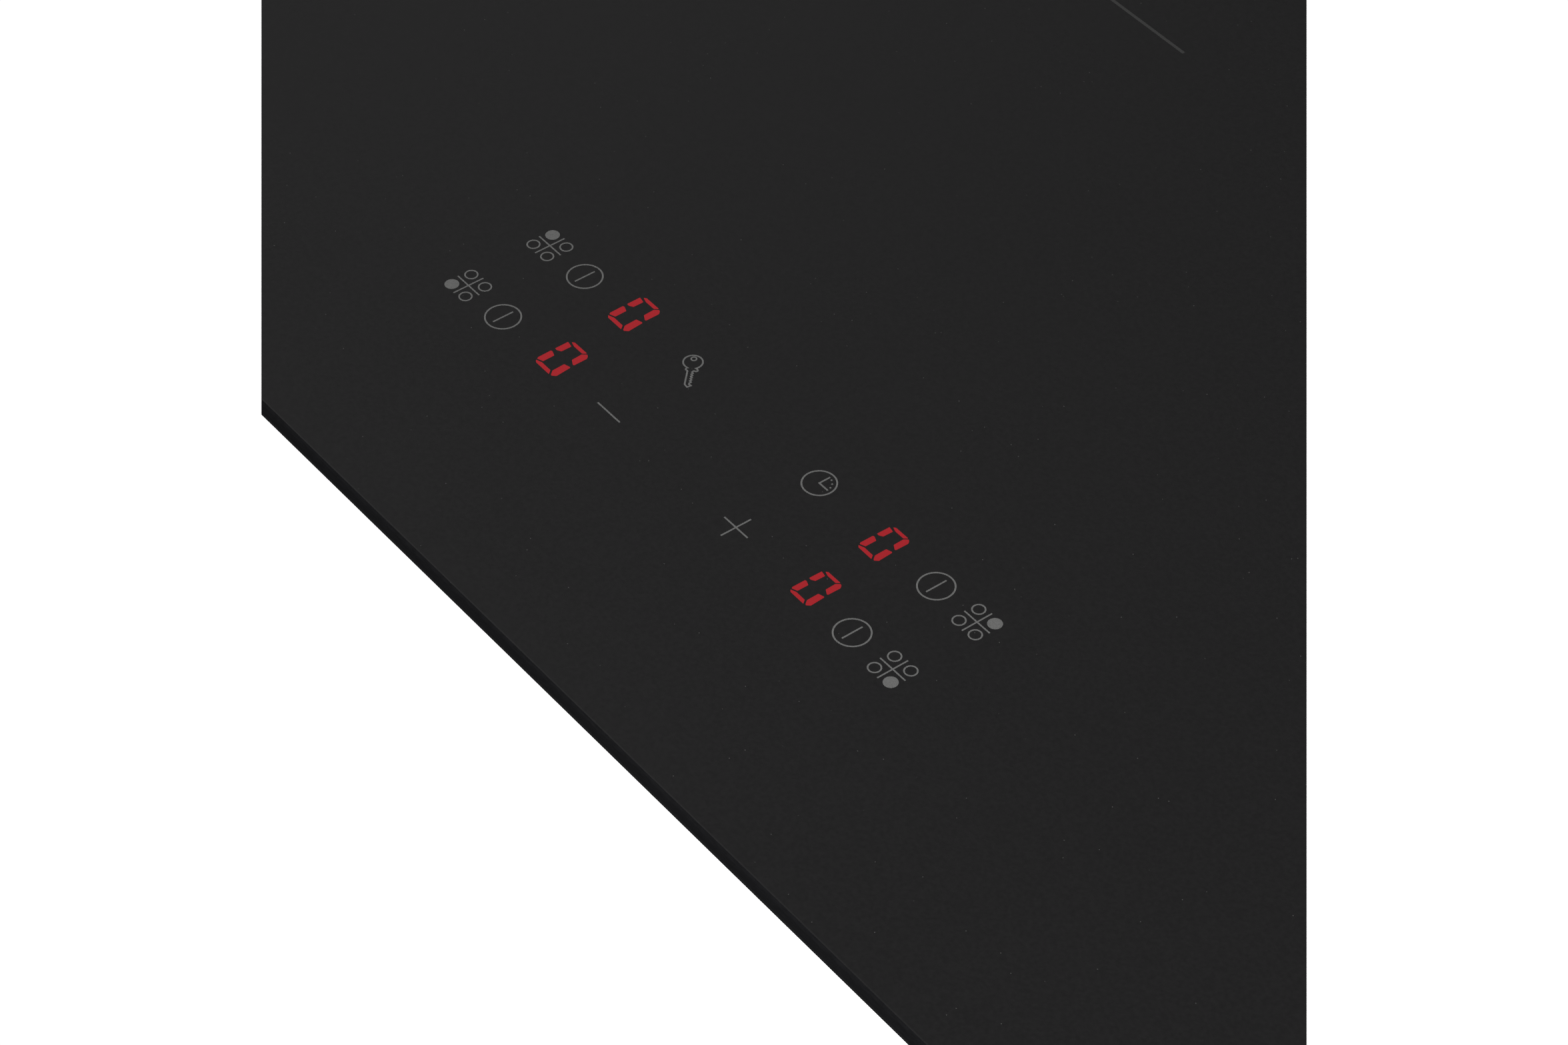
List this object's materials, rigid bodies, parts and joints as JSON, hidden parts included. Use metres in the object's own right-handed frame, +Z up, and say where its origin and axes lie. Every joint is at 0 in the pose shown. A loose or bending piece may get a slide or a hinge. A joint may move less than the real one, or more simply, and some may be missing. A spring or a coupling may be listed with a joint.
{
  "type": "electric induction cooktop",
  "caption": "Built-in frameless induction cooktop: a black glass-ceramic plate with touch keys and lit displays over a shallow stepped steel case with swivelling worktop clamps.",
  "frame": {"origin": "centre of the object's footprint, on the surface that the lower case stands on", "axes": "+Z up, +X to the right and -Y towards the cook, who stands at the control side"},
  "size_m": [0.59, 0.52, 0.052],
  "materials": {
    "glass_ceramic": "dense black glass-ceramic with a very fine satin surface and a ground chamfer",
    "seal_foam": "closed-cell black foam, matte",
    "galvanised_steel": "galvanised sheet with faint spangle",
    "zinc_steel": "zinc-plated fasteners",
    "aluminium": "mill finish",
    "copper_litz": "enamelled copper litz wire",
    "ferrite": "dark grey sintered ferrite, matte",
    "black_plastic": "moulded, fine texture",
    "white_plastic": "moulded, natural heat-resistant plastic",
    "mica": "pressed mica sheet",
    "circuit_board": "green solder resist",
    "sensor_foam": "conductive grey foam",
    "display_resin": "dark red display window",
    "printed_grey": "fired grey ceramic print on the plate",
    "display_light": "lit red display segment seen through the plate",
    "label_film": "blank silver rating plate"
  },
  "bodies": {
    "housing": {"glass_ceramic_plate": "glass_ceramic", "perimeter_seal": "seal_foam", "support_frame": "galvanised_steel", "lower_case": "galvanised_steel", "coil_winding_front_left": "copper_litz", "coil_former_front_left": "white_plastic", "ferrite_star_front_left": "ferrite", "zone_sensor_front_left": "zinc_steel", "coil_winding_rear_left": "copper_litz", "coil_former_rear_left": "white_plastic", "ferrite_star_rear_left": "ferrite", "zone_sensor_rear_left": "zinc_steel", "coil_winding_rear_right": "copper_litz", "coil_former_rear_right": "white_plastic", "ferrite_star_rear_right": "ferrite", "zone_sensor_rear_right": "zinc_steel", "coil_winding_front_right": "copper_litz", "coil_former_front_right": "white_plastic", "ferrite_star_front_right": "ferrite", "zone_sensor_front_right": "zinc_steel", "coil_tray_left": "aluminium", "mica_sheet_left": "mica", "board_carrier_left": "black_plastic", "power_board_left": "circuit_board", "heatsink_left": "aluminium", "capacitor_left": "black_plastic", "fan_housing_left": "black_plastic", "coil_tray_right": "aluminium", "mica_sheet_right": "mica", "board_carrier_right": "black_plastic", "power_board_right": "circuit_board", "heatsink_right": "aluminium", "capacitor_right": "black_plastic", "fan_housing_right": "black_plastic", "filter_board": "circuit_board", "touch_board": "circuit_board", "touch_pads": "sensor_foam", "touch_carrier": "black_plastic", "display_front_left": "display_resin", "display_rear_left": "display_resin", "display_rear_right": "display_resin", "display_front_right": "display_resin", "terminal_block": "white_plastic", "hinge_pin": "zinc_steel", "cable_gland": "black_plastic", "clamp_screw_front_left": "zinc_steel", "clamp_screw_front_right": "zinc_steel", "clamp_screw_rear_left": "zinc_steel", "clamp_screw_rear_right": "zinc_steel", "case_screw_left_front": "zinc_steel", "case_screw_left_rear": "zinc_steel", "case_screw_right_front": "zinc_steel", "case_screw_right_rear": "zinc_steel"},
    "fan_rotor_left": {"fan_impeller_left": "white_plastic"},
    "fan_rotor_right": {"fan_impeller_right": "white_plastic"},
    "terminal_door": {"terminal_cover": "black_plastic"},
    "clamp_front_left": {"clamp_arm_front_left": "galvanised_steel"},
    "clamp_front_right": {"clamp_arm_front_right": "galvanised_steel"},
    "clamp_rear_left": {"clamp_arm_rear_left": "galvanised_steel"},
    "clamp_rear_right": {"clamp_arm_rear_right": "galvanised_steel"}
  },
  "joints": [
    {"name": "fan_spin_left", "type": "hinge", "parent": "housing", "child": "fan_rotor_left", "pos_m": [-0.0505, 0.03, 0.02], "axis": [0, 0, 1], "continuous": true},
    {"name": "fan_spin_right", "type": "hinge", "parent": "housing", "child": "fan_rotor_right", "pos_m": [0.0505, 0.03, 0.02], "axis": [0, 0, 1], "continuous": true},
    {"name": "terminal_cover_hinge", "type": "hinge", "parent": "housing", "child": "terminal_door", "pos_m": [0.19, 0.243, 0.018], "axis": [-1, 0, 0], "range_deg": [0, 100]},
    {"name": "clamp_swing_front_left", "type": "hinge", "parent": "housing", "child": "clamp_front_left", "pos_m": [-0.215, -0.205, 0.008], "axis": [0, 0, 1], "range_deg": [-90, 0]},
    {"name": "clamp_swing_front_right", "type": "hinge", "parent": "housing", "child": "clamp_front_right", "pos_m": [0.215, -0.205, 0.008], "axis": [0, 0, 1], "range_deg": [0, 90]},
    {"name": "clamp_swing_rear_left", "type": "hinge", "parent": "housing", "child": "clamp_rear_left", "pos_m": [-0.215, 0.212, 0.008], "axis": [0, 0, 1], "range_deg": [0, 90]},
    {"name": "clamp_swing_rear_right", "type": "hinge", "parent": "housing", "child": "clamp_rear_right", "pos_m": [0.215, 0.212, 0.008], "axis": [0, 0, 1], "range_deg": [-90, 0]}
  ]
}
